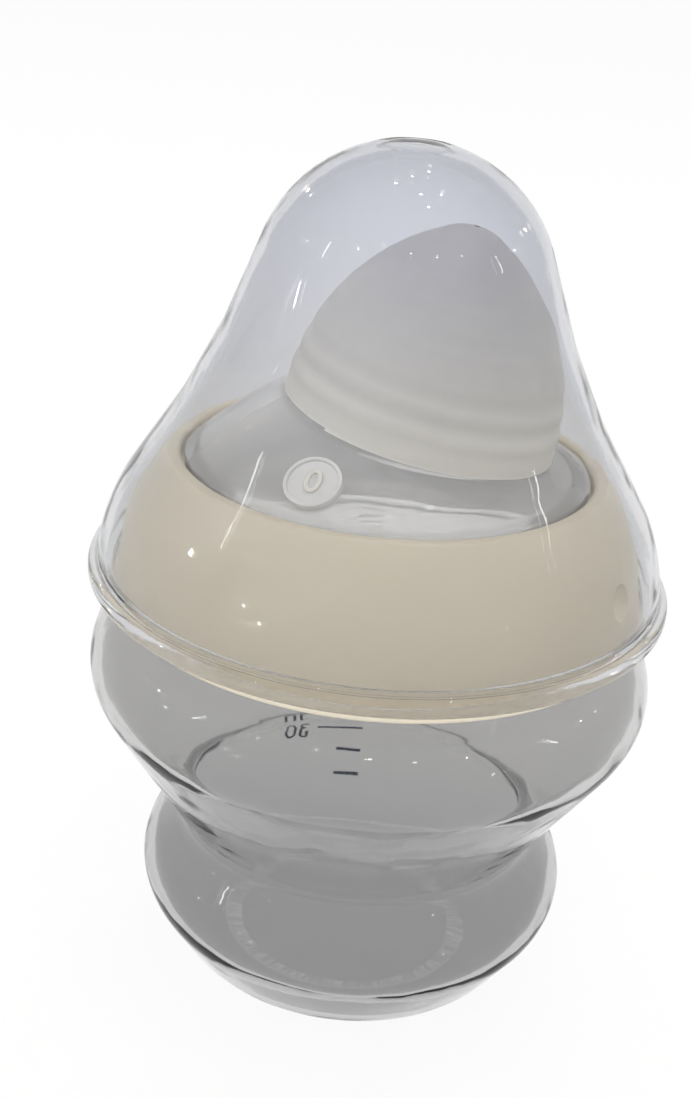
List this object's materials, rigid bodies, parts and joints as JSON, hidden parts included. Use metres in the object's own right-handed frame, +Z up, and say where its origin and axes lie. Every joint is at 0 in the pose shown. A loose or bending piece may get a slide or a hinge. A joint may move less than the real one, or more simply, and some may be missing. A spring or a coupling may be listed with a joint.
{
  "type": "baby bottle",
  "caption": "Squat clear baby bottle with a pinched waist, a screw ring that carries a soft leaning teat, and a clear lift-off hood.",
  "frame": {"origin": "centre of the standing ring under the body, on the surface it stands on", "axes": "+Z up along the bottle's axis, +X to the side that the teat leans to, -Y the front that the picture shows"},
  "size_m": [0.0766, 0.0766, 0.1149],
  "materials": {
    "bottle_clear": "clear moulded plastic, polished",
    "ring_cream": "warm cream plastic, satin",
    "teat_silicone": "milky silicone, frosted dome",
    "hood_clear": "clear moulded plastic, polished"
  },
  "bodies": {
    "body": {"bottle": "bottle_clear"},
    "teat": {"teat": "teat_silicone"},
    "ring": {"screw_ring": "ring_cream"},
    "hood": {"hood": "hood_clear"}
  },
  "joints": [
    {"name": "thread_rise", "type": "slide", "parent": "body", "child": "teat", "axis": [0, 0, 1], "range_m": [0, 0.005]},
    {"name": "ring_turn", "type": "hinge", "parent": "teat", "child": "ring", "pos_m": [0, 0, 0.0658], "axis": [0, 0, 1], "range_deg": [0, 450]},
    {"name": "hood_lift", "type": "slide", "parent": "ring", "child": "hood", "axis": [0, 0, 1], "range_m": [0, 0.06]}
  ],
  "couplings": [
    {"joint": "thread_rise", "follows": "ring_turn", "m_per_rad": 0.00063661}
  ]
}
